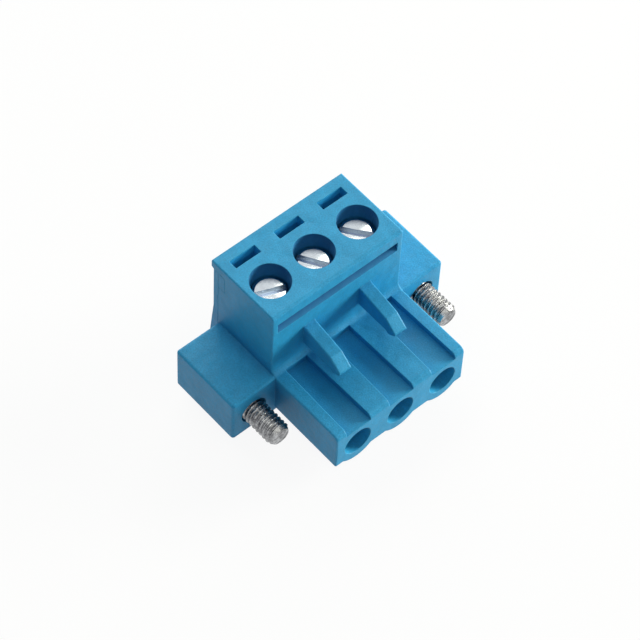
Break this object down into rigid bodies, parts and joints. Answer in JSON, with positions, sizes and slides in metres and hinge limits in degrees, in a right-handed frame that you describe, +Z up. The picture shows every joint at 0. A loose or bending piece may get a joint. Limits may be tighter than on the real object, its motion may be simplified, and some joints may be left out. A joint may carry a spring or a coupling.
{
  "type": "pluggable terminal block plug",
  "caption": "Blue pluggable screw terminal plug with rising clamp cages, latching noses, pin sockets at the front and a captive screw in a flange at each end.",
  "frame": {"origin": "middle of the underside of the whole plug", "axes": "+X along the row of poles, -Y towards the header it mates with, +Z up along the clamp screws"},
  "size_m": [0.0252, 0.0176, 0.015],
  "materials": {
    "blue_polyamide": "fine matt moulded surface",
    "zinc_steel": "bright zinc plating",
    "tin_plate": "satin tin plating on a copper alloy"
  },
  "bodies": {
    "housing": {"housing": "blue_polyamide", "rear_cover": "blue_polyamide", "contact_1": "tin_plate", "contact_2": "tin_plate", "contact_3": "tin_plate"},
    "clamp_screw_1": {"clamp_screw_1": "zinc_steel"},
    "clamp_cage_1": {"clamp_cage_1": "zinc_steel"},
    "clamp_screw_2": {"clamp_screw_2": "zinc_steel"},
    "clamp_cage_2": {"clamp_cage_2": "zinc_steel"},
    "clamp_screw_3": {"clamp_screw_3": "zinc_steel"},
    "clamp_cage_3": {"clamp_cage_3": "zinc_steel"},
    "flange_screw_left": {"flange_screw_left": "zinc_steel"},
    "flange_screw_right": {"flange_screw_right": "zinc_steel"}
  },
  "joints": [
    {"name": "clamp_screw_1_turn", "type": "hinge", "parent": "housing", "child": "clamp_screw_1", "pos_m": [-0.00508, 0.00352, 0.012], "axis": [0, 0, -1], "range_deg": [0, 2053]},
    {"name": "clamp_cage_1_rise", "type": "slide", "parent": "housing", "child": "clamp_cage_1", "axis": [0, 0, 1], "range_m": [0, 0.00285]},
    {"name": "clamp_screw_2_turn", "type": "hinge", "parent": "housing", "child": "clamp_screw_2", "pos_m": [0, 0.00352, 0.012], "axis": [0, 0, -1], "range_deg": [0, 2053]},
    {"name": "clamp_cage_2_rise", "type": "slide", "parent": "housing", "child": "clamp_cage_2", "axis": [0, 0, 1], "range_m": [0, 0.00285]},
    {"name": "clamp_screw_3_turn", "type": "hinge", "parent": "housing", "child": "clamp_screw_3", "pos_m": [0.00508, 0.00352, 0.012], "axis": [0, 0, -1], "range_deg": [0, 2053]},
    {"name": "clamp_cage_3_rise", "type": "slide", "parent": "housing", "child": "clamp_cage_3", "axis": [0, 0, 1], "range_m": [0, 0.00285]},
    {"name": "flange_screw_left_turn", "type": "hinge", "parent": "housing", "child": "flange_screw_left", "pos_m": [-0.01009, 0, 0.00384], "axis": [0, -1, 0], "continuous": true},
    {"name": "flange_screw_right_turn", "type": "hinge", "parent": "housing", "child": "flange_screw_right", "pos_m": [0.01009, 0, 0.00384], "axis": [0, -1, 0], "continuous": true}
  ],
  "couplings": [
    {"joint": "clamp_screw_1_turn", "follows": "clamp_cage_1_rise", "rad_per_m": 12566},
    {"joint": "clamp_screw_2_turn", "follows": "clamp_cage_2_rise", "rad_per_m": 12566},
    {"joint": "clamp_screw_3_turn", "follows": "clamp_cage_3_rise", "rad_per_m": 12566}
  ]
}
